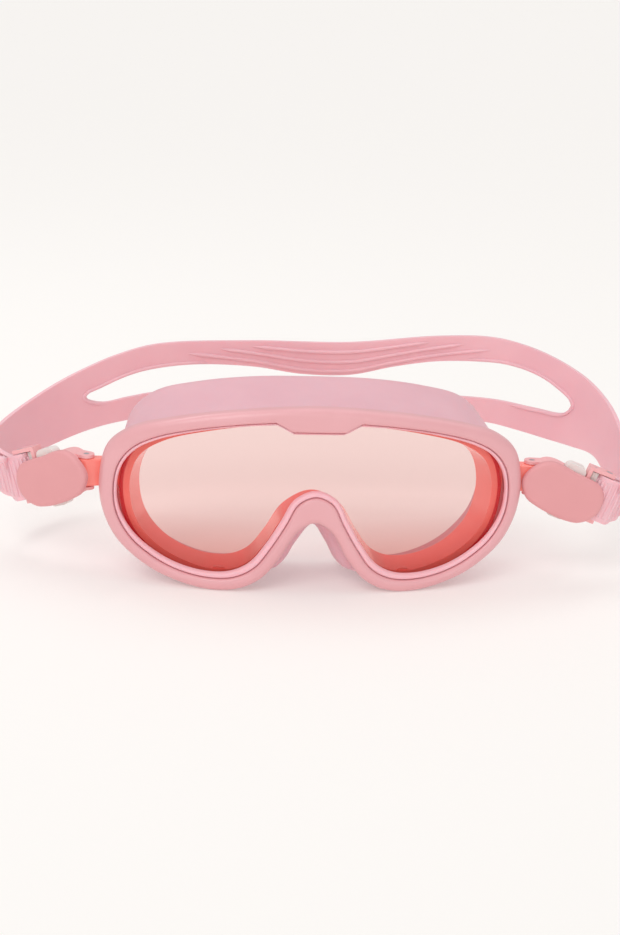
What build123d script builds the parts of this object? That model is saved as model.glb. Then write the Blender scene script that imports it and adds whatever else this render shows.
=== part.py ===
from build123d import *
import math
import os

# Wide-view swim goggles with a one-piece lens, standing upright on the lower rim.
# Millimetres.  +X is the viewer's right, +Y points to the back of the head, +Z is up.
# The mask is drawn symmetric about X = 0 with its front on Y = 0, and everything is
# moved at the end so that the origin is under the middle of the whole object.

# ---- driving dimensions: mask ----
front_radius = 215.0        # the front is wrapped on a vertical cylinder of this radius
bezel_depth = 5.0
gasket_start = 1.2          # depths are measured back from the wrapped front
lens_start = 3.0
lens_thickness = 2.2
frame_start = 5.3
frame_end = 16.0
frame_wall = 1.8
skirt_start = 5.3
skirt_wall = 1.8
skirt_back_radius = 230.0   # the skirt's back edge curves round the face
notch_x, notch_width, notch_depth = 73.0, 12.0, 6.0   # the notch that lets each lug out
notch_forward = 0.6
skirt_back_centre = 36.0    # how far back the skirt's edge is at the middle
skirt_clip_depth = 75.0
prism_depth = 60.0          # straight cuts through the wrapped front reach this far back
slab_low, slab_height = -10.0, 95.0
clear = 40.0                # a cutting block or rod reaches this far past what it cuts
backwards, forwards = (0, 1, 0), (0, -1, 0)

# Half outlines of the mask seen from the front, from the top centre round to the nose.
bezel_half = [
    (0, 70.2), (29.4, 67.9), (52.9, 63.4), (66, 59), (74.6, 51.8), (77.8, 40.5), (77, 28),
    (72, 17), (62.5, 8.4), (52, 3.2), (38, 0), (27, 0.9), (18.8, 5.2), (12, 13.6), (6, 23.6), (0, 27),
]
opening_tab = [(0, 61.4), (9.5, 61.4), (15.5, 64.7)]
opening_half = [
    (15.5, 64.7), (26.5, 63.6), (43, 60.9), (58, 56.6), (66.2, 51.8), (71, 45.4), (72.8, 37.5),
    (72, 27.5), (67.2, 18.4), (59.2, 11.6), (49.5, 6.9), (38, 4.6), (28.5, 5.4), (21.3, 9.4),
    (15.4, 17.4), (10.2, 26.4), (6, 34.2), (0, 36.9),
]
window_tab = [(0, 60.2), (9, 60.2), (15, 63.4)]
window_half = [
    (15, 63.4), (26.2, 62.4), (42.6, 59.6), (57.2, 55.2), (64.9, 50.7), (69.5, 44.6), (71.3, 37.3),
    (70.4, 28), (65.6, 19.7), (57.9, 13.3), (48.8, 8.9), (38, 6.8), (29.6, 7.6), (23.1, 11.2),
    (17.4, 18.7), (12.2, 27.7), (7.6, 35.8), (0, 39.2),
]
skirt_front_half = [
    (0, 68), (20, 67), (40, 63.9), (58, 59.2), (70.2, 52), (75.2, 41), (74.4, 28), (69.8, 18.6),
    (60.8, 10.6), (50.5, 5.6), (38, 2.2), (28, 3.1), (20.4, 7.4), (13.6, 16.2), (7.6, 25.8), (0, 29.4),
]
skirt_back_half = [
    (0, 74.8), (22, 74), (42, 70.6), (57.5, 65.2), (66.5, 56), (69.5, 43), (69, 29), (65.5, 18.5),
    (57.5, 9.5), (47.5, 3.4), (36, 0.1), (26, 0.2), (17, 1.8), (9.4, 6), (4.8, 14), (0, 21.5),
]
skirt_loft_depth = 45.0
frame_back_half = [
    (0, 63), (20, 62.2), (38, 59.4), (53, 54.8), (62, 48), (65.6, 38.5), (65, 28), (61.5, 20),
    (54.5, 13), (46.5, 8.8), (37.5, 6.8), (28.5, 7.4), (21.5, 11), (15.5, 19), (9.5, 28.5), (0, 33.5),
]
frame_loft_depth = 26.0
frame_gap = 0.3

# ---- driving dimensions: lugs and hinges ----
hinge_x, hinge_y, hinge_z = 82.6, 22.0, 39.5
lug_height = 10.4
lug_radius = 2.9
lug_arm = 3.0
lug_root_x, lug_root_y = 65.4, 23.2
pin_radius = 1.0
pin_clearance = 0.05
ear_height = 13.2
ear_radius, ear_end = 2.9, 6.4
swing_gap = 0.3
lug_room = 3.7              # the body is cut back to here round the lug
rest_yaw_left, rest_yaw_right = 33.0, -6.0

# ---- driving dimensions: buckle, drawn at the hinge with X outward, Y back, Z up ----
cover_front, cover_back = -7.2, -4.4
body_back = 2.9
buckle_tilt = 20.0
buckle_centre = (14.0, -4.0)
cover_points = [
    (-3.8, -0.3), (-3.2, -3.6), (-1.6, -6.9), (2.6, -10), (8.9, -13.2), (13.9, -15.0), (18.2, -15.6),
    (23.1, -13.8), (26.1, -10.3), (27.2, -5.1), (25.6, -1), (21.6, 1.5), (16, 3.9), (12, 6.1),
    (8.9, 7.4), (5.9, 7.9), (2.2, 6.8), (-1.2, 4.2), (-3.2, 1.6),
]
cover_edge = 1.3
bar_s, bar_t, bar_w = 12.0, 1.8, -0.7
bar_radius = 1.3
strap_thickness = 1.8
strap_end_width = 17.0
loop_clearance = 0.3
arm_wall = 1.4
arm_end = 14.2
arm_front, arm_back = -2.9, 1.5
post_front = -3.4
post_foot = 2.0
strap_gap = 0.3
main_layer_end, tail_layer_end = 19.4, 18.8
body_inset = 0.7
post_s, mouth_s = 3.9, 5.3     # the post beside the buttons, and where the strap mouth begins
pawl_s, pawl_w = 6.4, -1.0
pawl_radius, pawl_pin_radius = 0.95, 0.5
pawl_tip, pawl_half_thickness = 1.9, 0.6
leaf_low, leaf_high, leaf_reach, leaf_foot, leaf_thickness = -3.0, 3.6, 2.0, 1.2, 0.2

# ---- driving dimensions: buttons and their channels, along the tilted buckle ----
cap_s, cap_w = (-4.6, 3.4), (-3.2, 1.2)
cap_inner, upper_reach, lower_reach = 6.2, 10.4, 11.4
cap_corner = 2.2
stem_s, stem_w = (-4.4, 0.4), (-2.6, 0.6)
stem_inner, stem_outer = 2.6, 6.4
sliding_gap = 0.3
channel_inner, channel_middle = 4.1, 12.0
pocket_front, pocket_back = -3.5, 1.5
coil_s, coil_w, coil_low, coil_height = -2.0, -1.0, -2.3, 4.6
coil_radius, coil_pitch, coil_wire = 1.15, 1.15, 0.22

# ---- driving dimensions: strap ----
# Stations from the left buckle round the back to the right: X, Y, Z, outward lean, height.
strap_stations = [
    (-108.8, 41.2, 31.0, 20, 17.0), (-113.8, 46.0, 32.0, 18, 17.2), (-117.5, 55.0, 33.6, 13, 18.0),
    (-115.0, 67.5, 35.0, 8, 19.0), (-107.0, 80.0, 38.0, 4, 21.4), (-96.0, 89.0, 42.4, 0, 24.4),
    (-85.0, 94.0, 46.6, 0, 26.0), (-73.0, 97.2, 50.4, 0, 28.0), (-57.0, 100.0, 53.5, 0, 30.2),
    (-20.0, 102.5, 54.3, 0, 31.8), (23.0, 103.5, 54.2, 0, 32.0), (58.0, 101.5, 56.5, 0, 35.0),
    (80.0, 97.5, 57.0, 0, 36.0), (93.0, 93.0, 55.0, 0, 36.0), (104.0, 86.8, 52.4, 2, 34.0),
    (113.5, 78.0, 49.6, 5, 29.6), (119.2, 65.0, 47.0, 9, 23.0), (120.8, 52.0, 43.5, 13, 19.4),
    (120.2, 39.0, 38.6, 17, 18.0), (118.2, 28.0, 33.6, 20, 17.2), (114.6, 20.5, 31.2, 20, 17.0),
]
slot_front = 72.0           # the slot is cut straight back from this depth
slot_points = [
    (-86, 47.8), (-79.5, 51), (-68, 55.9), (-57, 58.6), (-40, 60.3), (-17, 59.5), (3, 56.6), (23, 56.6),
    (41, 60.6), (58, 63.5), (75, 64.5), (87, 64.2), (98, 61.6), (106, 57.4), (112, 51.6), (109, 47.4),
    (99, 47.2), (82.5, 48.8), (60, 49), (23, 48.6), (-20, 48.6), (-57, 48.4), (-68, 46.7), (-79, 45),
]
tail_right = [
    (122.8, 42.0, 40.2, 16, 17.0), (122.4, 34.5, 37.2, 18, 17.0), (121.2, 25.5, 33.6, 20, 17.0),
    (118.3, 18.6, 31.8, 20, 17.0), (113.4, 15.5, 31.4, 20, 17.0),
]
tail_left = [
    (-111.0, 36.4, 31.6, 20, 17.0), (-115.4, 40.2, 32.0, 18, 17.0), (-118.2, 46.0, 32.8, 15, 17.0),
    (-119.6, 54.0, 34.0, 13, 17.0),
]
origin_shift = Location((-1.85, -52.2, 0))

os.makedirs("parts", exist_ok=True)


def save(part, label):
    """Move a finished piece to the shared origin, name it and write it."""
    piece = part.moved(origin_shift)
    piece.label = label
    export_step(piece, f"parts/{label}.step")
    print(label, round(piece.volume, 1))


def mirrored(half):
    """Close a half outline by adding its mirror image in X."""
    return half + [(-x, z) for x, z in reversed(half[1:-1])]


def inset(points, amount):
    """Move each point of a closed clockwise outline inwards along its normal."""
    moved = []
    for i, (x, z) in enumerate(points):
        before, after = points[i - 1], points[(i + 1) % len(points)]
        dx, dz = after[0] - before[0], after[1] - before[1]
        length = math.hypot(dx, dz)
        moved.append((x + dz / length * amount, z - dx / length * amount))
    return moved


def smooth_outline(points, y=0.0):
    """A face in an X-Z plane inside one smooth closed curve."""
    with BuildSketch(Plane.XZ.offset(-y)) as outline:
        with BuildLine():
            Spline(*points, periodic=True)
        make_face()
    return outline.sketch


def tabbed_outline(tab, half):
    """A face whose top edge dips in a small brow tab, in the X-Z plane."""
    with BuildSketch(Plane.XZ) as outline:
        with BuildLine():
            Polyline(*tab)
            Spline(*half, tangents=((1, -0.09), (-1, 0)))
            mirror(about=Plane.YZ)
        make_face()
    return outline.sketch


def wrapped_slab(start, end):
    """The space between two depths behind the wrapped front."""
    with BuildPart() as slab:
        with BuildSketch(Plane.XY.offset(slab_low)):
            with Locations((0, front_radius)):
                Circle(front_radius - start)
                Circle(front_radius - end, mode=Mode.SUBTRACT)
            with Locations((0, front_radius * 1.5)):
                Rectangle(front_radius * 3, front_radius * 2.4, mode=Mode.SUBTRACT)
        extrude(amount=slab_height)
    return slab.part


def tapered_shell(front, back, depth, wall):
    """A wall that runs from one closed outline to another further back."""
    with BuildPart() as shell:
        for grow, mode in ((0.0, Mode.ADD), (wall, Mode.SUBTRACT)):
            front_face = smooth_outline(inset(front, grow))
            back_face = smooth_outline(inset(back, grow), depth)
            loft([front_face, back_face], mode=mode)
    return shell.part


# ---- mask ----
def build_bezel():
    """The outer front ring, with a brow tab at the top and a nose arch below."""
    with BuildPart() as bezel:
        add(smooth_outline(mirrored(bezel_half)))
        extrude(amount=prism_depth, dir=backwards)
        add(tabbed_outline(opening_tab, opening_half))
        extrude(amount=prism_depth, dir=backwards, mode=Mode.SUBTRACT)
        add(wrapped_slab(0, bezel_depth), mode=Mode.INTERSECT)
    return bezel.part


def build_gasket():
    """The thin inner rim that holds the lens in the bezel's opening."""
    with BuildPart() as gasket:
        add(tabbed_outline(opening_tab, opening_half))
        extrude(amount=prism_depth, dir=backwards)
        add(tabbed_outline(window_tab, window_half))
        extrude(amount=prism_depth, dir=backwards, mode=Mode.SUBTRACT)
        add(wrapped_slab(gasket_start, lens_start), mode=Mode.INTERSECT)
    return gasket.part


def build_lens():
    """The one-piece curved lens, seated behind the gasket inside the opening."""
    with BuildPart() as lens:
        add(tabbed_outline(opening_tab, opening_half))
        extrude(amount=prism_depth, dir=backwards)
        add(wrapped_slab(lens_start, lens_start + lens_thickness), mode=Mode.INTERSECT)
    return lens.part


def build_lens_frame():
    """The inner frame behind the lens, with a hinge lug at each side."""
    seat = inset(mirrored(skirt_front_half), skirt_wall + frame_gap)
    with BuildPart() as lens_frame:
        add(tapered_shell(seat, mirrored(frame_back_half), frame_loft_depth, frame_wall))
        add(wrapped_slab(frame_start, frame_end), mode=Mode.INTERSECT)
        reach = hinge_x - lug_root_x
        turn = math.degrees(math.atan2(hinge_y - lug_root_y, reach))
        for side in (-1, 1):
            root = Location((side * lug_root_x, lug_root_y, 0), side * turn + (side < 0) * 180)
            with BuildSketch(Plane.XY.offset(hinge_z - lug_height / 2)):
                with Locations(root):
                    Rectangle(reach, lug_arm, align=(Align.MIN, Align.CENTER))
                with Locations((side * hinge_x, hinge_y)):
                    Circle(lug_radius)
            extrude(amount=lug_height)
            with Locations((side * hinge_x, hinge_y, hinge_z)):
                Cylinder(pin_radius, lug_height * 2, mode=Mode.SUBTRACT)
    return lens_frame.part


def build_skirt():
    """The soft face skirt, flared at the brow, narrowed over the nose."""
    front, back = mirrored(skirt_front_half), mirrored(skirt_back_half)
    with BuildPart() as skirt:
        add(tapered_shell(front, back, skirt_loft_depth, skirt_wall))
        add(wrapped_slab(skirt_start, skirt_clip_depth), mode=Mode.INTERSECT)
        with Locations((0, skirt_back_centre + skirt_back_radius, 0)):
            Cylinder(skirt_back_radius, skirt_back_radius, mode=Mode.SUBTRACT)
        for side in (-1, 1):
            with Locations((side * notch_x, lug_root_y - notch_forward, hinge_z)):
                Box(notch_width, notch_depth, lug_height + 2 * frame_gap, mode=Mode.SUBTRACT)
    return skirt.part


# ---- buckle, drawn for the right side at the hinge ----
tilt = math.radians(buckle_tilt)


def tilted(s, t):
    """Turn a place along and across the tilted buckle into outward and up."""
    u = buckle_centre[0] + s * math.cos(tilt) + t * math.sin(tilt)
    v = buckle_centre[1] - s * math.sin(tilt) + t * math.cos(tilt)
    return u, v


def tilted_box(s0, s1, t0, t1, w0, w1, mode=Mode.ADD):
    """A block that lines up with the tilted buckle."""
    u, v = tilted((s0 + s1) / 2, (t0 + t1) / 2)
    with Locations(Location((u, (w0 + w1) / 2, v), (0, buckle_tilt, 0))):
        Box(s1 - s0, w1 - w0, t1 - t0, mode=mode)


def tilted_rod(s, w, t0, t1, radius, mode=Mode.ADD):
    """A round rod across the tilted buckle."""
    u, v = tilted(s, (t0 + t1) / 2)
    with Locations(Location((u, w, v), (0, buckle_tilt, 0))):
        Cylinder(radius, t1 - t0, mode=mode)


def buckle_outline(front, back, shrink=0.0):
    """A plate of the buckle's two-lobed outline, between two depths."""
    with BuildPart() as plate:
        add(smooth_outline(inset(cover_points, -shrink), back))
        extrude(amount=back - front, dir=forwards)
    return plate.part


def build_cover():
    """The smooth two-lobed cover over the front of the buckle."""
    with BuildPart() as cover:
        add(buckle_outline(cover_front, cover_back))
        front_edges = cover.faces().sort_by(Axis.Y)[0].edges()
        fillet(front_edges, cover_edge)
    return cover.part


def block(u, w, v, mode=Mode.ADD):
    """A block between two limits outward, back and up, in the buckle's own frame."""
    with Locations((sum(u) / 2, sum(w) / 2, sum(v) / 2)):
        Box(u[1] - u[0], w[1] - w[0], v[1] - v[0], mode=mode)


def build_body():
    """The buckle body: hinge ears, button channels and two arms for the strap bar."""
    arm_low, arm_high = bar_t - strap_end_width / 2 - strap_gap, bar_t + strap_end_width / 2 + strap_gap
    ears, lug_slot = ear_height / 2, lug_height / 2 + swing_gap
    stem_room = (stem_s[0] - sliding_gap, stem_s[1] + sliding_gap)
    cap_room = (cap_s[0] - sliding_gap, cap_s[1] + sliding_gap)
    everywhere = (-clear, clear)
    with BuildPart() as body:
        add(buckle_outline(cover_back, body_back, body_inset))
        Cylinder(ear_radius, ear_height)
        block((0, ear_end), (-ear_radius, body_back), (-ears, ears))
        tilted_box(post_s, mouth_s, post_foot, arm_high + arm_wall, post_front, arm_back)
        tilted_box(post_s, arm_end, arm_high, arm_high + arm_wall, arm_front, arm_back)
        tilted_box(post_s, arm_end, arm_low - arm_wall, arm_low, arm_front, arm_back)
        tilted_box(mouth_s, clear, arm_low, arm_high, *everywhere, Mode.SUBTRACT)
        tilted_box(arm_end, clear, *everywhere, *everywhere, Mode.SUBTRACT)
        tilted_box(*stem_room, -channel_middle, channel_middle, pocket_front, pocket_back, Mode.SUBTRACT)
        tilted_box(*cap_room, channel_inner, clear, pocket_front, pocket_back, Mode.SUBTRACT)
        tilted_box(*cap_room, -clear, -channel_inner, pocket_front, pocket_back, Mode.SUBTRACT)
        block((-clear, lug_room), everywhere, (-lug_slot, lug_slot), Mode.SUBTRACT)
        Cylinder(pin_radius + pin_clearance, clear, mode=Mode.SUBTRACT)
        tilted_rod(bar_s, bar_w, *everywhere, bar_radius, Mode.SUBTRACT)
        tilted_rod(pawl_s, pawl_w, *everywhere, pawl_pin_radius, Mode.SUBTRACT)
    return body.part


def arm_span():
    """How far the bar and the pawl pin reach, from the outside of one arm to the other."""
    reach = strap_end_width / 2 + strap_gap + arm_wall
    return bar_t - reach, bar_t + reach


def build_bar():
    """The fixed bar that the strap turns round."""
    with BuildPart() as bar:
        tilted_rod(bar_s, bar_w, *arm_span(), bar_radius)
    return bar.part


def build_pawl_pin():
    """The small pin that the strap pawl rocks on."""
    with BuildPart() as pawl_pin:
        tilted_rod(pawl_s, pawl_w, *arm_span(), pawl_pin_radius)
    return pawl_pin.part


def build_pawl():
    """The rocking pawl whose tip bites the toothed strap against the bar."""
    low, high = bar_t - strap_end_width / 2 + 0.2, bar_t + strap_end_width / 2 - 0.2
    thickness = (pawl_w - pawl_half_thickness, pawl_w + pawl_half_thickness)
    with BuildPart() as pawl:
        tilted_rod(pawl_s, pawl_w, low, high, pawl_radius)
        tilted_box(pawl_s, pawl_s + pawl_tip, low, high, *thickness)
        tilted_rod(pawl_s, pawl_w, -clear, clear, pawl_pin_radius + pin_clearance, Mode.SUBTRACT)
    return pawl.part


def build_pawl_spring():
    """The flat spring leaf that pushes the pawl against the strap."""
    leaf_w = pawl_w + pawl_radius + leaf_thickness / 2
    with BuildPart() as leaf:
        tilted_box(mouth_s, mouth_s + leaf_reach, leaf_low, leaf_high, leaf_w, leaf_w + leaf_thickness)
        tilted_box(mouth_s, mouth_s + leaf_thickness, leaf_low, leaf_high, leaf_w, leaf_w + leaf_foot)
    return leaf.part


def build_button(sign):
    """A release button: a rounded cap outside and a stem towards the middle."""
    cap = sorted((sign * cap_inner, sign * (upper_reach if sign > 0 else lower_reach)))
    stem = sorted((sign * stem_inner, sign * stem_outer))
    with BuildPart() as button:
        tilted_box(*cap_s, *cap, *cap_w)
        corners = button.edges().filter_by(Axis.Y).sort_by(Axis.Z)
        fillet(corners[-2:] if sign > 0 else corners[:2], cap_corner)
        tilted_box(*stem_s, *stem, *stem_w)
    return button.part


def build_button_spring():
    """The coil spring that pushes the two buttons apart."""
    u, v = tilted(coil_s, coil_low)
    axis = Vector(math.sin(tilt), 0, math.cos(tilt))
    with BuildPart() as spring:
        with BuildLine() as wire:
            Helix(coil_pitch, coil_height, coil_radius, center=(u, coil_w, v), direction=axis)
        with BuildSketch(Plane(origin=wire.line @ 0, z_dir=wire.line % 0)):
            Circle(coil_wire)
        sweep(path=wire.line, is_frenet=True)
    return spring.part


def build_hinge_pin():
    """The pin through a lug and the two ears of its buckle."""
    with BuildPart() as pin:
        Cylinder(pin_radius, ear_height)
    return pin.part


def placed(part, side):
    """Put a piece drawn at the right hinge onto its own side, at its resting swing."""
    if side == "right":
        return part.moved(Location((hinge_x, hinge_y, hinge_z), (0, 0, rest_yaw_right)))
    flipped = mirror(part, about=Plane.YZ)
    return flipped.moved(Location((-hinge_x, hinge_y, hinge_z), (0, 0, -rest_yaw_left)))


# ---- strap ----
def band(stations):
    """A flat band through upright sections that lean outwards by their own angle."""
    with BuildPart() as strip:
        for i, (x, y, z, lean, height) in enumerate(stations):
            before, after = stations[max(i - 1, 0)], stations[min(i + 1, len(stations) - 1)]
            along = Vector(*after[:3]) - Vector(*before[:3])
            flat = Vector(along.X, along.Y, 0).normalized()
            outward = Vector(-flat.Y, flat.X, 0)
            lean_angle = math.radians(lean)
            up = Vector(0, 0, 1) * math.cos(lean_angle) + outward * math.sin(lean_angle)
            across = up.cross(flat)
            with BuildSketch(Plane(origin=(x, y, z), x_dir=up, z_dir=across.cross(up) * -1)):
                Rectangle(height, strap_thickness)
        loft()
    return strip.part


def strap_loop():
    """One strap end folded round the bar, drawn at the right hinge."""
    inner = bar_radius + loop_clearance
    outer = inner + strap_thickness
    low, high = bar_t - strap_end_width / 2, bar_t + strap_end_width / 2
    with BuildPart() as loop:
        tilted_rod(bar_s, bar_w, low, high, outer)
        tilted_box(bar_s, clear, -clear, clear, -clear, clear, Mode.SUBTRACT)
        tilted_box(bar_s, main_layer_end, low, high, bar_w + inner, bar_w + outer)
        tilted_box(bar_s, tail_layer_end, low, high, bar_w - outer, bar_w - inner)
        tilted_rod(bar_s, bar_w, low - 1, high + 1, inner, Mode.SUBTRACT)
    return loop.part


def build_strap():
    """The head strap: a wide band split into two at the back, looped at both ends."""
    loops = [placed(strap_loop(), side) for side in ("left", "right")]
    with BuildPart() as strap:
        add(band(strap_stations))
        with BuildSketch(Plane.XZ.offset(-slot_front)):
            with BuildLine():
                Polyline(*slot_points, close=True)
            make_face()
        extrude(amount=slot_front, dir=backwards, mode=Mode.SUBTRACT)
        for piece in loops:
            add(piece)
        add(band(tail_left))
        add(band(tail_right))
    return strap.part


save(build_bezel(), "bezel")
save(build_gasket(), "lens_gasket")
save(build_lens(), "lens")
save(build_lens_frame(), "lens_frame")
save(build_skirt(), "skirt")
save(build_strap(), "strap")
buckle_pieces = {
    "buckle_body": build_body(),
    "buckle_cover": build_cover(),
    "strap_bar": build_bar(),
    "strap_pawl": build_pawl(),
    "pawl_pin": build_pawl_pin(),
    "pawl_spring": build_pawl_spring(),
    "upper_button": build_button(1),
    "lower_button": build_button(-1),
    "button_spring": build_button_spring(),
    "hinge_pin": build_hinge_pin(),
}
for side in ("left", "right"):
    for name, part in buckle_pieces.items():
        save(placed(part, side), f"{name}_{side}")
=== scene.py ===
import math

import bmesh
import bpy
import numpy as np
from mathutils import Matrix, Vector


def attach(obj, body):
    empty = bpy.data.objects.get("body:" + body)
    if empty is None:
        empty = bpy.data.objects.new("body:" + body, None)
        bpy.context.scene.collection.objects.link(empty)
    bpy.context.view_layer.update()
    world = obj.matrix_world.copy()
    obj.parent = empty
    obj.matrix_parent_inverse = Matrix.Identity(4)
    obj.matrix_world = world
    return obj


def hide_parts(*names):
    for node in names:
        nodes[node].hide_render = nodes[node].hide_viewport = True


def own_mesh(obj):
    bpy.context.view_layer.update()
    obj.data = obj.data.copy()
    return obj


# Wide-view swim goggles: the looks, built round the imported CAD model.
# Lengths below are in millimetres in the mask's own frame, as in the CAD source: X to the viewer's
# right, Y back from the front of the mask, Z up from the lower rim.  place() turns them into metres
# in the shared frame.
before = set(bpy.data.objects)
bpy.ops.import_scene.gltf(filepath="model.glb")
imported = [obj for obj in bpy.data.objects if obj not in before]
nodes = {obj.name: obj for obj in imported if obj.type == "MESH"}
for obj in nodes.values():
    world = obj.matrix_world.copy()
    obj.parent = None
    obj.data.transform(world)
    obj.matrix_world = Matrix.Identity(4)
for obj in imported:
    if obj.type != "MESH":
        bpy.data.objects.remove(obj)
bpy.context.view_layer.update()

MM = 0.001
ORIGIN_SHIFT = Vector((-1.85, -52.2, 0))
SIDES = ("left", "right")

# ---- mask dimensions ----
FRONT_RADIUS = 215.0
BEZEL_DEPTH = 5.0
GASKET_START = 1.2
LENS_START, LENS_BACK = 3.0, 5.2
FRAME_END = 18.5
FRAME_WALL = 1.8
FRAME_LOFT = 26.0
FRAME_GAP = 0.3
FLANGE_REACH = 2.4
SKIRT_WALL = 1.8
SKIRT_LOFT = 45.0
NOSE_FLAP = 0.5
NOSE_TOP, NOSE_REACH, NOSE_FADE = 32.0, 26.0, 10.0
SKIRT_BACK = 36.0
SKIRT_BACK_RADIUS = 230.0
BEZEL_HALF = [
    (0, 70.2), (29.4, 67.9), (52.9, 63.4), (66, 59), (74.6, 51.8), (77.8, 40.5), (77, 28),
    (72, 17), (62.5, 8.4), (52, 3.2), (38, 0), (27, 0.9), (18.8, 5.2), (12, 13.6), (6, 23.6), (0, 27),
]
OPENING_TAB = [(0, 61.4), (9.5, 61.4), (15.5, 64.7)]
OPENING_HALF = [
    (15.5, 64.7), (26.5, 63.6), (43, 60.9), (58, 56.6), (66.2, 51.8), (71, 45.4), (72.8, 37.5),
    (72, 27.5), (67.2, 18.4), (59.2, 11.6), (49.5, 6.9), (38, 4.6), (28.5, 5.4), (21.3, 9.4),
    (15.4, 17.4), (10.2, 26.4), (6, 34.2), (0, 36.9),
]
WINDOW_TAB = [(0, 60.2), (9, 60.2), (15, 63.4)]
WINDOW_HALF = [
    (15, 63.4), (26.2, 62.4), (42.6, 59.6), (57.2, 55.2), (64.9, 50.7), (69.5, 44.6), (71.3, 37.3),
    (70.4, 28), (65.6, 19.7), (57.9, 13.3), (48.8, 8.9), (38, 6.8), (29.6, 7.6), (23.1, 11.2),
    (17.4, 18.7), (12.2, 27.7), (7.6, 35.8), (0, 39.2),
]
SKIRT_FRONT_HALF = [
    (0, 68), (20, 67), (40, 63.9), (58, 59.2), (70.2, 52), (75.2, 41), (74.4, 28), (69.8, 18.6),
    (60.8, 10.6), (50.5, 5.6), (38, 2.2), (28, 3.1), (20.4, 7.4), (13.6, 16.2), (7.6, 25.8), (0, 29.4),
]
SKIRT_BACK_HALF = [
    (0, 74.8), (22, 74), (42, 70.6), (57.5, 65.2), (66.5, 56), (69.5, 43), (69, 29), (65.5, 18.5),
    (57.5, 9.5), (47.5, 3.4), (36, 0.1), (26, 0.2), (17, 1.8), (9.4, 6), (4.8, 14), (0, 21.5),
]
FRAME_BACK_HALF = [
    (0, 63), (20, 62.2), (38, 59.4), (53, 54.8), (62, 48), (65.6, 38.5), (65, 28), (61.5, 20),
    (54.5, 13), (46.5, 8.8), (37.5, 6.8), (28.5, 7.4), (21.5, 11), (15.5, 19), (9.5, 28.5), (0, 33.5),
]

# ---- hinge lugs ----
HINGE = Vector((82.6, 22.0, 39.5))
LUG_ROOT = Vector((65.4, 23.2))
LUG_HEIGHT = 10.4
LUG_RADIUS = 2.9
LUG_ARM = 3.0
NOTCH_X = 73.0

# ---- buckles, drawn at the hinge with X outward, Y back, Z up ----
COVER_FRONT, COVER_BACK = -7.2, -4.4
BUCKLE_TILT = math.radians(20.0)
BUCKLE_CENTRE = (14.0, -4.0)
REST_YAW = {"left": math.radians(-33.0), "right": math.radians(-6.0)}
COVER_CENTRE = (12.0, -4.0)
COVER_POINTS = [
    (-3.8, -0.3), (-3.2, -3.6), (-1.6, -6.9), (2.6, -10), (8.9, -13.2), (13.9, -15.0), (18.2, -15.6),
    (23.1, -13.8), (26.1, -10.3), (27.2, -5.1), (25.6, -1), (21.6, 1.5), (16, 3.9), (12, 6.1),
    (8.9, 7.4), (5.9, 7.9), (2.2, 6.8), (-1.2, 4.2), (-3.2, 1.6),
]
BAR_S, BAR_T, BAR_W = 12.0, 1.8, -0.7
COIL_S, COIL_W, COIL_LOW = -2.0, -1.0, -2.3
COIL_RADIUS, COIL_PITCH, COIL_WIRE = 1.15, 1.15, 0.22
LOOP_MID_RADIUS = 2.5
LOOP_END_S = {"main": 19.0, "tail": 18.4}

# ---- strap ----
STRAP_THICKNESS = 1.8
STRAP_END_WIDTH = 17.0
STRAP_STEP = 1.1             # between neighbouring sections of the strap
# Stations from the left buckle round the back to the right: X, Y, Z, outward lean, height.
STRAP_STATIONS = [
    (-108.8, 41.2, 31.0, 20, 17.0), (-113.8, 46.0, 32.0, 18, 17.2), (-117.5, 55.0, 33.6, 13, 18.0),
    (-115.0, 67.5, 35.0, 8, 19.0), (-107.0, 80.0, 38.0, 4, 21.4), (-96.0, 89.0, 42.4, 0, 24.4),
    (-85.0, 94.0, 46.6, 0, 26.0), (-73.0, 97.2, 50.4, 0, 28.0), (-57.0, 100.0, 53.5, 0, 30.2),
    (-20.0, 102.5, 54.3, 0, 31.8), (23.0, 103.5, 54.2, 0, 32.0), (58.0, 101.5, 56.5, 0, 35.0),
    (80.0, 97.5, 57.0, 0, 36.0), (93.0, 93.0, 55.0, 0, 36.0), (104.0, 86.8, 52.4, 2, 34.0),
    (113.5, 78.0, 49.6, 5, 29.6), (119.2, 65.0, 47.0, 9, 23.0), (120.8, 52.0, 43.5, 13, 19.4),
    (120.2, 39.0, 38.6, 17, 18.0), (118.2, 28.0, 33.6, 20, 17.2), (114.6, 20.5, 31.2, 20, 17.0),
]
SLOT_POINTS = [
    (-86, 47.8), (-79.5, 51), (-68, 55.9), (-57, 58.6), (-40, 60.3), (-17, 59.5), (3, 56.6), (23, 56.6),
    (41, 60.6), (58, 63.5), (75, 64.5), (87, 64.2), (98, 61.6), (106, 57.4), (112, 51.6), (109, 47.4),
    (99, 47.2), (82.5, 48.8), (60, 49), (23, 48.6), (-20, 48.6), (-57, 48.4), (-68, 46.7), (-79, 45),
]
TAIL_RIGHT = [
    (122.8, 42.0, 40.2, 16, 17.0), (122.4, 34.5, 37.2, 18, 17.0), (121.2, 25.5, 33.6, 20, 17.0),
    (118.3, 18.6, 31.8, 20, 17.0), (113.4, 15.5, 31.4, 20, 17.0),
]
TAIL_LEFT = [
    (-111.0, 36.4, 31.6, 20, 17.0), (-115.4, 40.2, 32.0, 18, 17.0), (-118.2, 46.0, 32.8, 15, 17.0),
    (-119.6, 54.0, 34.0, 13, 17.0),
]


# ---- curves and meshes ----
def place(x, y, z):
    """A point of the mask's own frame, in metres in the shared frame."""
    return (Vector((x, y, z)) + ORIGIN_SHIFT) * MM


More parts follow.
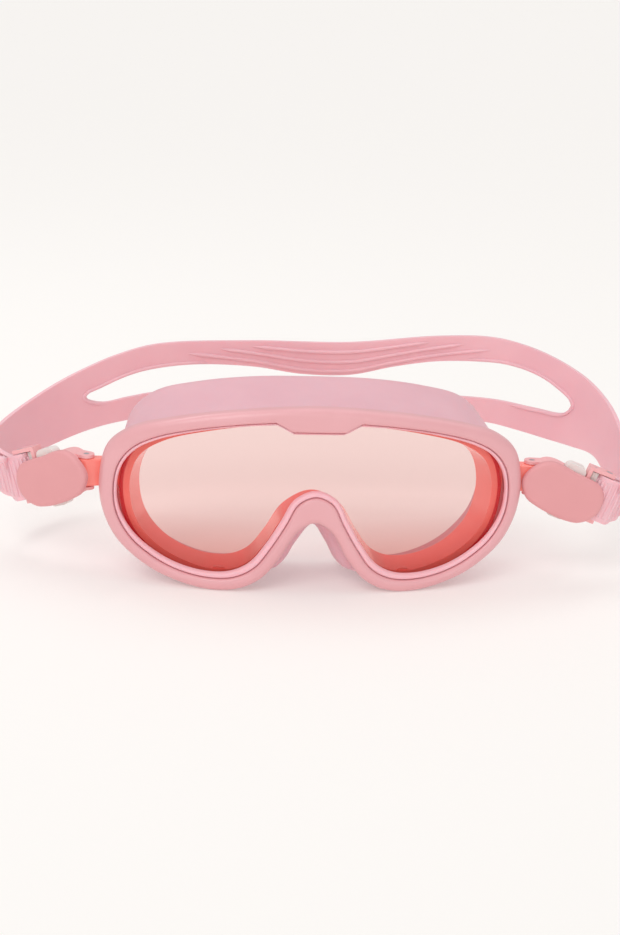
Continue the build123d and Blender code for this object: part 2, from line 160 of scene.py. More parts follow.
def through(points, closed=False, steps=12, folded=False):
    """Points along a smooth curve through the given ones, the same number in each span.
    A folded curve crosses the middle line level, as the half of a symmetric outline."""
    given = np.array(points, float)
    if closed:
        given = np.vstack([given[-1:], given, given[:2]])
    elif folded:
        before = given[1] * (-1, 1) if given[0][0] == 0 else 2 * given[0] - given[1]
        given = np.vstack([before, given, given[-2] * (-1, 1)])
    else:
        given = np.vstack([2 * given[0] - given[1], given, 2 * given[-1] - given[-2]])
    gaps = np.sqrt(np.linalg.norm(np.diff(given[:, :3], axis=0), axis=1))
    t = np.linspace(0, 1, steps, endpoint=False)[:, None]
    spans = []
    for i in range(1, len(given) - 2):
        a, b, c = gaps[i - 1:i + 2]
        p0, p1, p2, p3 = given[i - 1:i + 3]
        leave = b * ((p1 - p0) / a - (p2 - p0) / (a + b) + (p2 - p1) / b)
        reach = b * ((p2 - p1) / b - (p3 - p1) / (b + c) + (p3 - p2) / c)
        spans.append(
            (2 * t**3 - 3 * t**2 + 1) * p1 + (t**3 - 2 * t**2 + t) * leave
            + (3 * t**2 - 2 * t**3) * p2 + (t**3 - t**2) * reach
        )
    if not closed:
        spans.append(given[-2:-1])
    return np.vstack(spans)


def lengths(curve):
    """How far along a curve each of its points is."""
    steps = np.linalg.norm(np.diff(curve[:, :3], axis=0), axis=1)
    return np.concatenate([[0], np.cumsum(steps)])


def evenly(curve, spacing):
    """The same curve with its points an even distance apart."""
    far = lengths(curve)
    wanted = np.linspace(0, far[-1], max(2, int(round(far[-1] / spacing)) + 1))
    return np.stack([np.interp(wanted, far, column) for column in curve.T], axis=1)


def mirrored(half):
    """Close a half outline by adding its mirror image in X."""
    return np.vstack([half, np.array(half)[-2:0:-1] * (-1, 1)])


def inset(outline, amount):
    """Move each point of a closed clockwise outline inwards along its normal."""
    along = np.roll(outline, -1, axis=0) - np.roll(outline, 1, axis=0)
    along /= np.linalg.norm(along, axis=1)[:, None]
    return outline + np.stack([along[:, 1], -along[:, 0]], axis=1) * amount


def tabbed_half(tab, half, spacing=0.6):
    """Half of an outline whose top edge dips in a small brow tab."""
    return evenly(np.vstack([tab[:-1], through(half, folded=True)]), spacing)


def smoothed(values, reach, times=3):
    """Running average that keeps the two ends."""
    for _ in range(times):
        padded = np.concatenate([2 * values[0] - values[reach:0:-1], values,
                                 2 * values[-1] - values[-2:-reach - 2:-1]])
        values = np.convolve(padded, np.ones(2 * reach + 1) / (2 * reach + 1), mode="valid")
    return values


def facing(inner_half, outer_half, reach=8):
    """For each point of the inner half outline, the point of the outer one that it faces."""
    dense = evenly(outer_half, 0.1)
    far = lengths(dense)
    nearest = [far[np.argmin(np.linalg.norm(dense - p, axis=1))] for p in inner_half]
    nearest[0], nearest[-1] = 0, far[-1]
    wanted = smoothed(np.maximum.accumulate(np.array(nearest)), reach)
    return np.stack([np.interp(wanted, far, column) for column in dense.T], axis=1)


def wrapped(x, depth=0.0):
    """How far back the surface at this depth behind the wrapped front lies."""
    return FRONT_RADIUS - math.sqrt((FRONT_RADIUS - depth) ** 2 - x * x)


def skirt_edge(x):
    """How far back the skirt's free edge lies."""
    return SKIRT_BACK + SKIRT_BACK_RADIUS - math.sqrt(SKIRT_BACK_RADIUS**2 - x * x)


def make_object(name, vertices, faces, sharp=40.0):
    """A smooth-shaded mesh object, with normals outward and edges sharper than an angle kept."""
    mesh = bpy.data.meshes.new(name)
    mesh.from_pydata([tuple(v) for v in vertices], [], faces)
    tidy = bmesh.new()
    tidy.from_mesh(mesh)
    bmesh.ops.remove_doubles(tidy, verts=tidy.verts, dist=1e-7)
    bmesh.ops.recalc_face_normals(tidy, faces=tidy.faces)
    tidy.to_mesh(mesh)
    tidy.free()
    mesh.polygons.foreach_set("use_smooth", [True] * len(mesh.polygons))
    mesh.set_sharp_from_angle(angle=math.radians(sharp))
    piece = bpy.data.objects.new(name, mesh)
    bpy.context.scene.collection.objects.link(piece)
    return piece


def grid_faces(rows, columns, close_rows=False, close_columns=False):
    """Quads between neighbouring rows and columns of a grid of vertices."""
    faces = []
    for i in range(rows if close_rows else rows - 1):
        for j in range(columns if close_columns else columns - 1):
            a, b = (i + 1) % rows, (j + 1) % columns
            faces.append((i * columns + j, i * columns + b, a * columns + b, a * columns + j))
    return faces


def ring_object(name, sections, sharp=40.0):
    """A closed ring through sections, each a closed loop of points in the mask's frame."""
    columns = len(sections[0])
    vertices = [place(*point) for section in sections for point in section]
    faces = grid_faces(len(sections), columns, close_rows=True, close_columns=True)
    return make_object(name, vertices, faces, sharp)


def set_zone(piece, values):
    """Store a number at each vertex that the material turns into a colour."""
    attribute = piece.data.attributes.new("zone", "FLOAT", "POINT")
    attribute.data.foreach_set("value", values)


def finish_piece(piece, body, material, slot, *replaced):
    """Give a piece its material and its body, and hide the CAD nodes that it stands for. The slot is not
    used.
    """
    piece.data.materials.append(material)
    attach(piece, body)
    if replaced:
        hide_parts(*replaced)
    return piece


def add_bevel(piece, width, segments=3, angle=50.0):
    """Round the edges that are sharper than an angle."""
    bevel = piece.modifiers.new("rounded_edges", "BEVEL")
    bevel.width = width * MM
    bevel.segments = segments
    bevel.limit_method = "ANGLE"
    bevel.angle_limit = math.radians(angle)
    bevel.harden_normals = False
    return bevel


# ---- materials ----
def srgb(red, green, blue):
    """An 8-bit sRGB colour as linear numbers with alpha."""
    def linear(value):
        share = value / 255
        return share / 12.92 if share <= 0.04045 else ((share + 0.055) / 1.055) ** 2.4
    return (linear(red), linear(green), linear(blue), 1.0)


def node(tree, kind, **values):
    """A new shader node with some of its inputs or settings set."""
    made = tree.nodes.new(kind)
    for key, value in values.items():
        if hasattr(made, key):
            setattr(made, key, value)
        else:
            made.inputs[key.replace("_", " ")].default_value = value
    return made


def moulded(name, colour, shade, roughness, grain=0.04, patch_scale=45.0, grain_scale=2600.0, **sockets):
    """A moulded plastic or silicone: two close tones in soft patches, a fine surface grain,
    and a roughness that wanders a little, as on handled parts."""
    material = bpy.data.materials.new(name)
    material.use_nodes = True
    tree = material.node_tree
    surface = tree.nodes["Principled BSDF"]
    where = node(tree, "ShaderNodeTexCoord")
    patches = node(tree, "ShaderNodeTexNoise", Scale=patch_scale, Detail=3.0, Roughness=0.55)
    tree.links.new(where.outputs["Object"], patches.inputs["Vector"])
    tones = node(tree, "ShaderNodeValToRGB")
    tones.color_ramp.elements[0].position = 0.32
    tones.color_ramp.elements[0].color = shade
    tones.color_ramp.elements[1].position = 0.62
    tones.color_ramp.elements[1].color = colour
    tree.links.new(patches.outputs["Fac"], tones.inputs["Fac"])
    tree.links.new(tones.outputs["Color"], surface.inputs["Base Color"])
    handled = node(tree, "ShaderNodeTexNoise", Scale=patch_scale * 6, Detail=4.0)
    tree.links.new(where.outputs["Object"], handled.inputs["Vector"])
    spread = node(tree, "ShaderNodeMapRange")
    spread.inputs["To Min"].default_value = roughness - 0.06
    spread.inputs["To Max"].default_value = roughness + 0.06
    tree.links.new(handled.outputs["Fac"], spread.inputs["Value"])
    tree.links.new(spread.outputs["Result"], surface.inputs["Roughness"])
    fine = node(tree, "ShaderNodeTexNoise", Scale=grain_scale, Detail=2.0)
    tree.links.new(where.outputs["Object"], fine.inputs["Vector"])
    bump = node(tree, "ShaderNodeBump", Strength=grain, Distance=0.0002)
    tree.links.new(fine.outputs["Fac"], bump.inputs["Height"])
    tree.links.new(bump.outputs["Normal"], surface.inputs["Normal"])
    for socket, value in sockets.items():
        surface.inputs[socket.replace("_", " ")].default_value = value
    return material


def zoned(material, glow, stops):
    """Colour a moulded material by the stored zone number, keeping its soft patches, and make it glow
    faintly in that colour: painted light.
    """
    tree = material.node_tree
    surface = tree.nodes["Principled BSDF"]
    patches = surface.inputs["Base Color"].links[0].from_socket
    zone = node(tree, "ShaderNodeAttribute", attribute_name="zone")
    ramp = node(tree, "ShaderNodeValToRGB")
    while len(ramp.color_ramp.elements) < len(stops):
        ramp.color_ramp.elements.new(0.5)
    for element, (position, colour) in zip(ramp.color_ramp.elements, stops):
        element.position = position
        element.color = colour
    tree.links.new(zone.outputs["Fac"], ramp.inputs["Fac"])
    mixed = node(tree, "ShaderNodeMix", data_type="RGBA", blend_type="MULTIPLY")
    mixed.inputs["Factor"].default_value = 1.0
    tree.links.new(ramp.outputs["Color"], mixed.inputs["A"])
    tree.links.new(patches, mixed.inputs["B"])
    tree.links.new(mixed.outputs["Result"], surface.inputs["Base Color"])
    # The same colour is also emitted: painted light, a glow though the part is no lamp.
    tree.links.new(mixed.outputs["Result"], surface.inputs["Emission Color"])
    surface.inputs["Emission Strength"].default_value = glow
    return material


def tinted_glass(name, tint, painted_shadow_tint):
    """A clear tinted pane, darker towards its foot with a painted shadow, with a soft sheen on top."""
    material = bpy.data.materials.new(name)
    material.use_nodes = True
    tree = material.node_tree
    tree.nodes.remove(tree.nodes["Principled BSDF"])
    clear = node(tree, "ShaderNodeBsdfTransparent")
    gloss = node(tree, "ShaderNodeBsdfGlossy", Color=(1, 1, 1, 1))
    where = node(tree, "ShaderNodeTexCoord")
    parts = node(tree, "ShaderNodeSeparateXYZ")
    tree.links.new(where.outputs["Object"], parts.inputs["Vector"])
    # Darker towards the foot, by height: a painted shadow of what lies behind the lens.
    height = node(tree, "ShaderNodeMapRange")
    height.inputs["From Min"].default_value, height.inputs["From Max"].default_value = 0.008, 0.028
    tree.links.new(parts.outputs["Z"], height.inputs["Value"])
    tones = node(tree, "ShaderNodeValToRGB")
    tones.color_ramp.elements[0].color = painted_shadow_tint
    tones.color_ramp.elements[1].color = tint
    tree.links.new(height.outputs["Result"], tones.inputs["Fac"])
    tree.links.new(tones.outputs["Color"], clear.inputs["Color"])
    haze = node(tree, "ShaderNodeTexNoise", Scale=120.0, Detail=3.0)
    tree.links.new(where.outputs["Object"], haze.inputs["Vector"])
    spread = node(tree, "ShaderNodeMapRange")
    spread.inputs["To Min"].default_value = 0.03
    spread.inputs["To Max"].default_value = 0.09
    tree.links.new(haze.outputs["Fac"], spread.inputs["Value"])
    tree.links.new(spread.outputs["Result"], gloss.inputs["Roughness"])
    slant = node(tree, "ShaderNodeLayerWeight", Blend=0.15)
    sheen = node(tree, "ShaderNodeMapRange")
    sheen.inputs["To Min"].default_value, sheen.inputs["To Max"].default_value = 0.015, 0.3
    tree.links.new(slant.outputs["Facing"], sheen.inputs["Value"])
    mixed = node(tree, "ShaderNodeMixShader")
    tree.links.new(sheen.outputs["Result"], mixed.inputs["Fac"])
    tree.links.new(clear.outputs["BSDF"], mixed.inputs[1])
    tree.links.new(gloss.outputs["BSDF"], mixed.inputs[2])
    tree.links.new(mixed.outputs["Shader"], tree.nodes["Material Output"].inputs["Surface"])
    return material


def brushed_steel(name, colour, scale):
    """Drawn steel with a fine surface grain."""
    return moulded(name, colour, colour, 0.3, grain=0.12, grain_scale=scale, Metallic=1.0)


SILICONE_RADIUS = (0.004, 0.0016, 0.0014)
bezel_plastic = moulded(
    "bezel_plastic", srgb(235, 174, 179), srgb(232, 170, 175), 0.34, grain=0.02,
    Coat_Weight=0.25, Coat_Roughness=0.12,
)
gasket_silicone = moulded(
    "gasket_silicone", srgb(252, 196, 204), srgb(249, 190, 199), 0.42,
    Subsurface_Weight=0.2, Subsurface_Radius=SILICONE_RADIUS, Subsurface_Scale=0.3,
)
coral_plastic = zoned(
    moulded("coral_plastic", (1, 1, 1, 1), (0.93, 0.93, 0.93, 1), 0.22, grain=0.02,
            Coat_Weight=0.5, Coat_Roughness=0.06),
    # Glow strength of the coral colours: painted light.
    0.24,
    [
        # Deep red next to the lens: painted shade on the strip just behind the lens.
        (0.0, srgb(205, 18, 34)), (0.09, srgb(208, 20, 36)), (0.14, srgb(238, 122, 110)),
        # Pale cream at the top of the ramp: a painted highlight on the wall's back edge.
        (0.9, srgb(243, 138, 130)), (0.95, srgb(255, 205, 184)),
    ],
)
skirt_silicone = moulded(
    "skirt_silicone", srgb(231, 181, 191), srgb(228, 176, 187), 0.5, grain=0.03,
    Subsurface_Weight=0.35, Subsurface_Radius=SILICONE_RADIUS, Subsurface_Scale=0.6,
    Sheen_Weight=0.08,
)
strap_silicone = moulded(
    "strap_silicone", srgb(245, 194, 202), srgb(242, 189, 198), 0.48, grain=0.03,
    Subsurface_Weight=0.2, Subsurface_Radius=SILICONE_RADIUS, Subsurface_Scale=0.4,
    Sheen_Weight=0.06,
)
buckle_plastic = moulded(
    "buckle_plastic", srgb(248, 184, 186), srgb(245, 180, 182), 0.36, grain=0.02,
    Coat_Weight=0.2, Coat_Roughness=0.15,
)
cover_plastic = moulded(
    "cover_plastic", srgb(230, 160, 163), srgb(227, 157, 160), 0.44, grain=0.03,
)
button_plastic = moulded(
    "button_plastic", srgb(238, 230, 226), srgb(232, 224, 220), 0.38, grain=0.02,
    Subsurface_Weight=0.1, Subsurface_Radius=SILICONE_RADIUS, Subsurface_Scale=0.2,
)
steel = brushed_steel("steel", srgb(200, 200, 205), 900.0)
spring_steel = brushed_steel("spring_steel", srgb(185, 186, 190), 1500.0)
# The second tint is the painted shadow at the foot of the lens.
tinted_lens = tinted_glass("tinted_lens", (0.965, 0.84, 0.825, 1), (0.85, 0.64, 0.615, 1))


# ---- mask pieces ----
LUG_ZONE, TAB_ZONE = 0.45, 0.9     # their places on the coral colour ramp


def full_outline(half):
    """Both halves of an outline whose points are already close together."""
    return mirrored(np.array(half))


def bezel_section(outer, inner):
    """One section of the front ring: a rounded outer shoulder, a soft crown, a small inner edge."""
    shoulder = [(0, BEZEL_DEPTH), (0, 2.7), (0.14, 1.9), (0.5, 1.2), (1.05, 0.62), (1.8, 0.22), (2.7, 0.02)]
    lip = [(1.5, 0.06), (0.75, 0.2), (0.32, 0.42), (0.06, 0.75), (0, 1.1), (0, BEZEL_DEPTH)]
    across = (inner - outer) / np.linalg.norm(inner - outer)
    flat = [(outer + across * o, depth) for o, depth in shoulder]
    flat += [(inner - across * i, depth) for i, depth in lip]
    return [(p[0], wrapped(p[0], depth), p[1]) for p, depth in flat]


def build_bezel():
    """The front ring with its brow tab and nose arch."""
    inner = tabbed_half(OPENING_TAB, OPENING_HALF)
    outer = facing(inner, through(BEZEL_HALF, folded=True))
    sections = [bezel_section(o, i) for o, i in zip(full_outline(outer), full_outline(inner))]
    return ring_object("bezel_ring", sections, 60)


def rim_section(outer, inner):
    """One section of the lens rim: a groove beside the bezel, a flat face and a slope to the lens."""
    across = (inner - outer) / np.linalg.norm(inner - outer)
    groove, edge = 0.34, 0.22
    groove_floor, foot = GASKET_START + 1.0, LENS_START - 0.05
    flat = [
        (outer, foot), (outer, groove_floor), (outer + across * (groove - 0.04), groove_floor),
        (outer + across * groove, GASKET_START + edge),
        (outer + across * (groove + 0.08), GASKET_START + 0.06),
        (outer + across * (groove + edge), GASKET_START),
        (inner - across * 0.75, GASKET_START + 0.05), (inner - across * 0.35, GASKET_START + 0.45),
        (inner - across * 0.05, LENS_START - 0.5), (inner, foot),
    ]
    return [(p[0], wrapped(p[0], depth), p[1]) for p, depth in flat]


def build_rim():
    """The thin rim that holds the lens in the bezel."""
    inner = tabbed_half(WINDOW_TAB, WINDOW_HALF)
    outer = facing(inner, tabbed_half(OPENING_TAB, OPENING_HALF))
    sections = [rim_section(o, i) for o, i in zip(full_outline(outer), full_outline(inner))]
    return ring_object("lens_rim", sections, 60)


def wall_point(front, back, loft_depth, depth_of, early=0.0):
    """Where a wall between two outline points reaches a wrapped depth. The wall is straight,
    unless it takes some of the back outline's shape early."""
    point = front
    for _ in range(4):
        y = depth_of(point[0])
        point = front + (back - front) * (y / loft_depth + early)
    return point, y


def build_frame_ring():
    """The coral ring behind the lens: a flange against it and a wall that narrows to the back."""
    front = through(inset(mirrored(SKIRT_FRONT_HALF), SKIRT_WALL + FRAME_GAP), closed=True)
    back = through(mirrored(FRAME_BACK_HALF), closed=True)
    front_in, back_in = inset(front, FRAME_WALL), inset(back, FRAME_WALL)
    front_out, back_out = inset(front, -FLANGE_REACH), inset(back, -FLANGE_REACH)
    flange = LENS_BACK + 0.12
    # The deep red band of the flange beside the lens is painted shade.
    painted_shade_end, coral_start = 0.34, 0.44
    painted_shade_front = front_out * (1 - painted_shade_end) + front_in * painted_shade_end
    painted_shade_back = back_out * (1 - painted_shade_end) + back_in * painted_shade_end
    turn_front = front_out * (1 - coral_start) + front_in * coral_start
    turn_back = back_out * (1 - coral_start) + back_in * coral_start
    path = [
        (front_out, back_out, flange), (painted_shade_front, painted_shade_back, flange), (turn_front, turn_back, flange),
        (front_in, back_in, flange), (front_in, back_in, flange + 0.25), (front_in, back_in, flange + 2.2),
        (front_in, back_in, FRAME_END - 3), (front_in, back_in, FRAME_END - 0.5),
        ((front + front_in) / 2, (back + back_in) / 2, FRAME_END), (front, back, FRAME_END - 0.5),
        (front, back, flange + 1.0), (front_out, back_out, flange + 0.9),
    ]
    # The back edge, zone 1.0, takes the pale cream painted highlight; the flange beside the lens takes the
    # deep red painted shade.
    zones = [0, 0.05, 0.2, 0.3, 0.3, 0.4, 0.8, 0.92, 1.0, 0.92, 0.4, 0.2]
    sections = []
    for k in range(len(front)):
        section = []
        for near, far, depth in path:
            point, y = wall_point(near[k], far[k], FRAME_LOFT, lambda x: wrapped(x, depth))
            section.append((point[0], y, point[1]))
        sections.append(section)
    ring = ring_object("lens_frame_ring", sections, 35)
    set_zone(ring, zones * len(front))
    return ring


def build_lug(side):
    """A hinge lug: an arm from the frame that ends in the barrel round the pin."""
    sign = -1 if side == "left" else 1
    hinge = Vector((HINGE.x, HINGE.y))
    along = (hinge - LUG_ROOT).normalized()
    normal = Vector((-along.y, along.x))
    outline = [LUG_ROOT + normal * LUG_ARM / 2, LUG_ROOT - normal * LUG_ARM / 2]
    turns = np.linspace(-math.pi * 0.62, math.pi * 0.62, 25)
    outline += [hinge + (along * math.cos(a) + normal * math.sin(a)) * LUG_RADIUS for a in turns]
    low, high = HINGE.z - LUG_HEIGHT / 2, HINGE.z + LUG_HEIGHT / 2
    count = len(outline)
    vertices = [place(sign * p.x, p.y, z) for z in (low, high) for p in outline]
    faces = grid_faces(2, count, close_columns=True) + [tuple(range(count)), tuple(range(count, 2 * count))]
    lug = make_object(f"hinge_lug_{side}", vertices, faces)
    set_zone(lug, [LUG_ZONE] * len(vertices))
    add_bevel(lug, 0.7)
    return lug


def build_snap_tab(side):
    """One of the two small catches at the foot of the lens frame."""
    sign = -1 if side == "left" else 1
    centre, bottom, steps = 34, 7.0, 9
    vertices = []
    for x in np.linspace(-2.2, 2.2, steps):
        lift = 0.9 * (1 - (x / 2.4) ** 4)
        for depth, z in ((5.6, bottom), (5.6, bottom + lift), (6.8, bottom + lift), (7.6, bottom)):
            px = sign * centre + x
            vertices.append(place(px, wrapped(px, depth), z))
    last = len(vertices) - 4
    faces = grid_faces(steps, 4, close_columns=True) + [(0, 1, 2, 3), tuple(range(last, last + 4))]
    tab = make_object(f"snap_tab_{side}", vertices, faces)
    set_zone(tab, [TAB_ZONE] * len(vertices))
    add_bevel(tab, 0.2)
    return tab


def nose_share(point):
    """How fully a point of the skirt's front outline belongs to the nose, from 0 to 1."""
    if point[1] > NOSE_TOP:
        return 0.0
    return min(1.0, max(0.0, (NOSE_REACH - abs(point[0])) / NOSE_FADE))


def build_skirt():
    """The soft face skirt, with a bowed wall and a rolled sealing edge."""
    front = through(mirrored(SKIRT_FRONT_HALF), closed=True)
    back = through(mirrored(SKIRT_BACK_HALF), closed=True)
    front_in, back_in = inset(front, SKIRT_WALL), inset(back, SKIRT_WALL)
    start = LENS_BACK + 1.3
    shares = np.linspace(0, 1, 13)
    roll = [(0.0, -0.9), (0.12, -0.38), (0.35, -0.06), (0.65, -0.06), (0.88, -0.38), (1.0, -0.9)]
    sections = []
    for k in range(len(front)):
        nose = nose_share(front[k])
        section = []
        for inside, along in [(0, s) for s in shares[:-1]] + roll + [(1, s) for s in shares[-2::-1]]:
            f, b = front[k] + (front_in[k] - front[k]) * inside, back[k] + (back_in[k] - back[k]) * inside
            if along < 0:
                point, y = wall_point(f, b, SKIRT_LOFT, lambda x: skirt_edge(x) + along)
            else:
                point, y = wall_point(
                    f, b, SKIRT_LOFT,
                    lambda x: wrapped(x, start) * (1 - along) + (skirt_edge(x) - 0.9) * along,
                    NOSE_FLAP * nose * math.sin(math.pi * along**0.5),
                )
            section.append((point[0], y, point[1]))
        sections.append(section)
    skirt = ring_object("face_skirt", sections, 60)
    for sign in (-1, 1):
        cut_notch(skirt, sign)
    return skirt


def cut_notch(skirt, sign):
    """Cut the rounded window that lets a hinge lug out of the skirt."""
    half = Vector((6.0, (LUG_ARM + 3) / 2, LUG_HEIGHT / 2 + FRAME_GAP))
    centre = Vector((sign * NOTCH_X, LUG_ROOT.y - 0.6, HINGE.z))
    corners = [Vector((x, y, z)) for x in (-1, 1) for y in (-1, 1) for z in (-1, 1)]
    vertices = [place(*(centre + Vector(c * h for c, h in zip(corner, half)))) for corner in corners]
    faces = [(0, 1, 3, 2), (4, 6, 7, 5), (0, 4, 5, 1), (2, 3, 7, 6), (0, 2, 6, 4), (1, 5, 7, 3)]
    cutter = make_object("notch_cutter", vertices, faces)
    cut = skirt.modifiers.new("notch", "BOOLEAN")
    cut.operation = "DIFFERENCE"
    cut.solver = "EXACT"
    cut.object = cutter
    apply_modifiers(skirt)
    bpy.data.objects.remove(cutter)


def apply_modifiers(piece):
    """Replace a piece's mesh by what its modifiers make of it."""
    bpy.context.view_layer.update()
    graph = bpy.context.evaluated_depsgraph_get()
    made = bpy.data.meshes.new_from_object(piece.evaluated_get(graph), depsgraph=graph)
    piece.modifiers.clear()
    piece.data = made


# ---- buckle pieces ----
def buckle_matrix(side):
    """From the buckle's own frame at the hinge to the mask's frame, at its resting swing."""
    flip = Matrix.Diagonal((-1, 1, 1, 1)) if side == "left" else Matrix.Identity(4)
    hinge = Vector((-HINGE.x if side == "left" else HINGE.x, HINGE.y, HINGE.z))
    return Matrix.Translation(hinge) @ Matrix.Rotation(REST_YAW[side], 4, "Z") @ flip


def tilted(s, t, w):
    """A point along, across and through the tilted buckle, in the buckle's own frame."""
    u = BUCKLE_CENTRE[0] + s * math.cos(BUCKLE_TILT) + t * math.sin(BUCKLE_TILT)
    v = BUCKLE_CENTRE[1] - s * math.sin(BUCKLE_TILT) + t * math.cos(BUCKLE_TILT)
    return Vector((u, w, v))


def build_cover(side):
    """The smooth two-lobed cover: a rounded edge and a face that swells a little to the middle."""
    outline = evenly(np.vstack([through(COVER_POINTS, closed=True), COVER_POINTS[:1]]), 0.8)[:-1]
    centre = np.array(COVER_CENTRE)
    edge = [(0.0, 0.0), (0.0, 1.05), (-0.1, 1.5), (-0.38, 1.95), (-0.85, 2.28), (-1.5, 2.48)]
    rings = [(inset(outline, amount), COVER_BACK - rise) for amount, rise in edge]
    last = rings[-1][0]
    crown = -(COVER_FRONT - COVER_BACK) - edge[-1][1]
    for share in (0.88, 0.74, 0.58, 0.4, 0.2):
        rise = edge[-1][1] + crown * (1 - share**2)
        rings.append((centre + (last - centre) * share, COVER_BACK - rise))
    matrix = buckle_matrix(side)
    vertices = [place(*(matrix @ Vector((u, w, v)))) for ring, w in rings for u, v in ring]
    count = len(outline)
    faces = grid_faces(len(rings), count, close_columns=True)
    faces += [tuple(range(count)), tuple(range(len(vertices) - count, len(vertices)))]
    return make_object(f"cover_shell_{side}", vertices, faces, 60)


# ---- strap ----
def strap_rows(stations):
    """Centres, upward directions and heights of upright strap sections with their own lean."""
    stations = evenly(through(stations), STRAP_STEP)
    centres = stations[:, :3]
    along = np.gradient(centres, axis=0)[:, :2]
    along /= np.linalg.norm(along, axis=1)[:, None]
    lean = np.radians(stations[:, 3])
    up = np.stack([-along[:, 1] * np.sin(lean), along[:, 0] * np.sin(lean), np.cos(lean)], axis=1)
    return np.hstack([centres, up, stations[:, 4:5]])


def loop_rows(side):
    """The strap's turn round its bar, from the tail side to the main side."""
    matrix = buckle_matrix(side)
    up = np.array((matrix.to_3x3() @ (tilted(0, 1, 0) - tilted(0, 0, 0))).normalized())
    radius, step = LOOP_MID_RADIUS, STRAP_STEP
    spots = [(s, BAR_W - radius) for s in np.arange(LOOP_END_S["tail"], BAR_S, -step)]
    turns = np.linspace(math.pi, 0, 15)
    spots += [(BAR_S - radius * math.sin(a), BAR_W + radius * math.cos(a)) for a in turns]
    spots += [(s, BAR_W + radius) for s in np.arange(BAR_S + step, LOOP_END_S["main"], step)]
    centres = [matrix @ tilted(s, BAR_T, w) for s, w in spots]
    return np.array([[*c, *up, STRAP_END_WIDTH] for c in centres])


def whole_strap():
    """Every section of the strap in order, from the left tail round the head to the right tail."""
    tail_left, tail_right = strap_rows(TAIL_LEFT)[::-1], strap_rows(TAIL_RIGHT)[::-1]
    left, right = loop_rows("left"), loop_rows("right")[::-1]
    main = strap_rows(STRAP_STATIONS)
    starts = np.cumsum([0, len(tail_left), len(left), len(main), len(right)])
    rows = np.vstack([tail_left, left, main, right, tail_right])
    for column in range(6):
        ease = smoothed(rows[:, column].copy(), 1, times=1)
        for joint in starts[1:]:
            rows[joint - 2:joint + 2, column] = ease[joint - 2:joint + 2]
    rows[:, 3:6] /= np.linalg.norm(rows[:, 3:6], axis=1)[:, None]
    return rows, starts[2], starts[3]


STRAP_ROWS, MAIN_START, MAIN_END = whole_strap()


def strap_normals():
    """The strap's outward direction at each section: away from the head."""
    along = np.gradient(STRAP_ROWS[:, :3], axis=0)
    normals = np.cross(STRAP_ROWS[:, 3:6], along)
    return normals / np.linalg.norm(normals, axis=1)[:, None]


STRAP_NORMALS = strap_normals()


SLOT_BEHIND = 70.0       # the slot lies behind this depth
SLOT_FADE = 22           # the seam beyond a slot's end comes back to the middle in this many sections


def slot_edges():
    """The slot's upper and lower height above the strap's middle, for each section of the strap."""
    outline = through(SLOT_POINTS, closed=True, steps=16)
    left, right = outline[:, 0].argmin(), outline[:, 0].argmax()
    upper = outline[left:right + 1] if left < right else np.vstack([outline[left:], outline[:right + 1]])
    lower = outline[right:left + 1] if right < left else np.vstack([outline[right:], outline[:left + 1]])
    lower = lower[::-1]
    x, z = STRAP_ROWS[:, 0], STRAP_ROWS[:, 2]
    top = np.interp(x, upper[:, 0], upper[:, 1]) - z
    bottom = np.interp(x, lower[:, 0], lower[:, 1]) - z
    back = np.arange(len(x))
    inside = (x > outline[left, 0]) & (x < outline[right, 0]) & (back > MAIN_START) & (back < MAIN_END)
    inside &= STRAP_ROWS[:, 1] > SLOT_BEHIND
    open_rows = np.flatnonzero(inside)
    first, last = open_rows[0], open_rows[-1]
    middle = np.zeros(len(x))
    for end, step in ((first, -1), (last, 1)):
        height = (top[end] + bottom[end]) / 2
        top[end] = bottom[end] = height
        for k in range(1, SLOT_FADE):
            middle[end + step * k] = height * (1 - k / SLOT_FADE) ** 2
    return top, bottom, middle, first, last


SLOT_TOP, SLOT_BOTTOM, SLOT_MIDDLE, SLOT_FIRST, SLOT_LAST = slot_edges()
BAND_CELLS = 7


def strap_heights(k):
    """Heights above the middle of the strap's grid points at one section, from the foot to the top."""
    half = STRAP_ROWS[k, 6] / 2
    if SLOT_FIRST <= k <= SLOT_LAST:
        low, high = SLOT_BOTTOM[k], SLOT_TOP[k]
    else:
        low = high = SLOT_MIDDLE[k]
    return np.linspace(-half, low, BAND_CELLS + 1), np.linspace(high, half, BAND_CELLS + 1)


def strap_point(k, height, out=0.0):
    """A point on the strap at one section, in the mask's frame."""
    return STRAP_ROWS[k, :3] + STRAP_ROWS[k, 3:6] * height + STRAP_NORMALS[k] * out


def build_strap():
    """The head strap as one sheet with its slot, thickened, with softened edges."""
    vertices = []
    for k in range(len(STRAP_ROWS)):
        for heights in strap_heights(k):
            vertices += [place(*strap_point(k, height)) for height in heights]
    columns = 2 * (BAND_CELLS + 1)
    faces = [
        face for face in grid_faces(len(STRAP_ROWS), columns) if face[0] % columns != BAND_CELLS
    ]
    strap = make_object("head_strap", vertices, faces, 180)
    thick = strap.modifiers.new("thickness", "SOLIDIFY")
    thick.thickness = STRAP_THICKNESS * MM
    thick.offset = 0
    thick.use_even_offset = True
    add_bevel(strap, 0.5, angle=60)
    return strap


def bead(name, points, radius):
    """A raised bead along points, thin at both ends."""
    line = bpy.data.curves.new(name, "CURVE")
    line.dimensions = "3D"
    line.bevel_depth = radius * MM
    line.bevel_resolution = 4
    line.use_fill_caps = True
    spline = line.splines.new("POLY")
    spline.points.add(len(points) - 1)
    fade = 4
    for i, (point, target) in enumerate(zip(points, spline.points)):
        target.co = (*place(*point), 1)
        target.radius = min(1.0, 0.25 + min(i, len(points) - 1 - i) / fade * 0.75)
    carrier = bpy.data.objects.new(name, line)
    mesh = bpy.data.meshes.new_from_object(carrier)
    bpy.data.objects.remove(carrier)
    mesh.polygons.foreach_set("use_smooth", [True] * len(mesh.polygons))
    piece = bpy.data.objects.new(name, mesh)
    bpy.context.scene.collection.objects.link(piece)
    return piece


